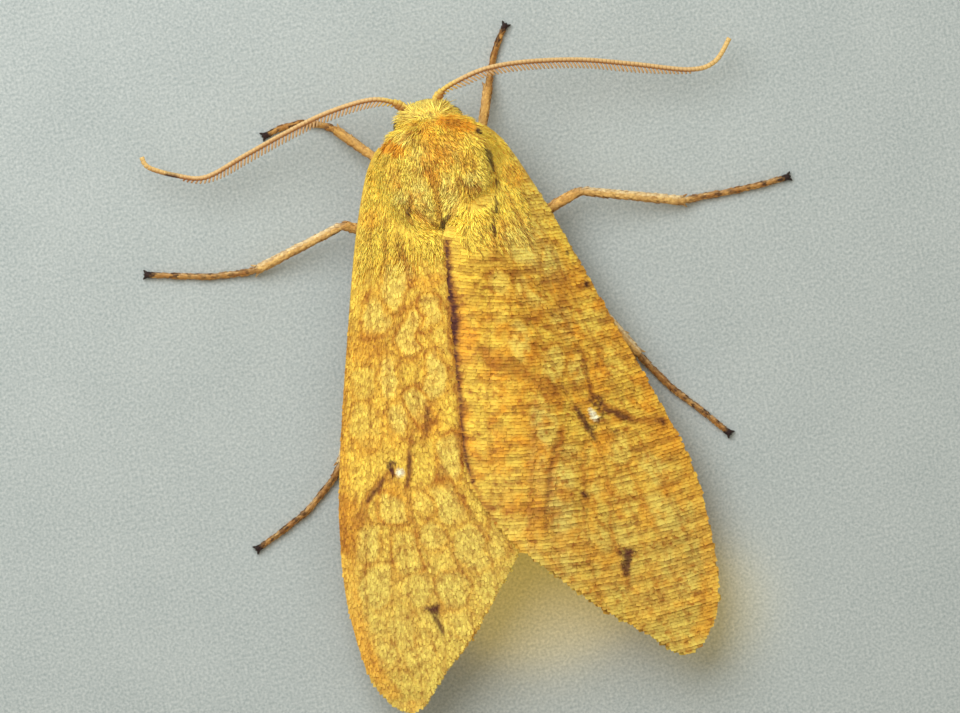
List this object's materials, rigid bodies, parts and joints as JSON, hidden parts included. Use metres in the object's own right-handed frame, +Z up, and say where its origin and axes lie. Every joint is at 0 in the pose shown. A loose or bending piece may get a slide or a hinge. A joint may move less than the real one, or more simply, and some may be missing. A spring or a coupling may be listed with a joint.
{
  "type": "moth",
  "caption": "Life-size yellow tussock moth at rest on a flat surface, with roof-folded wings and comb feelers, as a still museum model.",
  "frame": {"origin": "on the floor, under the centre of the whole model's bounding box", "axes": "+Z up from the floor, the head towards -Y, the moth's left side towards +X"},
  "size_m": [0.0282, 0.0282, 0.0063],
  "materials": {
    "wing_scales": "fine overlapping scales, matt, golden yellow with brown cell lines",
    "body_fur": "soft hair-like scales, golden yellow",
    "leg_scales": "flat-lying scales, tan with brown streaks",
    "antenna_cuticle": "pinkish tan, satin",
    "eye_cornea": "glossy near-black, finely faceted"
  },
  "bodies": {
    "root": {"abdomen_front": "body_fur", "abdomen_middle": "body_fur", "abdomen_rear": "body_fur", "antenna_left_base": "antenna_cuticle", "antenna_left_middle": "antenna_cuticle", "antenna_left_tip": "antenna_cuticle", "antenna_right_base": "antenna_cuticle", "antenna_right_middle": "antenna_cuticle", "antenna_right_tip": "antenna_cuticle", "eye_left": "eye_cornea", "eye_right": "eye_cornea", "foreleg_left_femur": "leg_scales", "foreleg_left_tarsus": "leg_scales", "foreleg_left_tibia": "leg_scales", "foreleg_right_femur": "leg_scales", "foreleg_right_tarsus": "leg_scales", "foreleg_right_tibia": "leg_scales", "forewing_left": "wing_scales", "forewing_right": "wing_scales", "head": "body_fur", "hindleg_left_femur": "leg_scales", "hindleg_left_tarsus": "leg_scales", "hindleg_left_tibia": "leg_scales", "hindleg_right_femur": "leg_scales", "hindleg_right_tarsus": "leg_scales", "hindleg_right_tibia": "leg_scales", "hindwing_left": "wing_scales", "hindwing_right": "wing_scales", "midleg_left_femur": "leg_scales", "midleg_left_tarsus": "leg_scales", "midleg_left_tibia": "leg_scales", "midleg_right_femur": "leg_scales", "midleg_right_tarsus": "leg_scales", "midleg_right_tibia": "leg_scales", "palp_left": "body_fur", "palp_right": "body_fur", "thorax": "body_fur"}
  },
  "joints": []
}
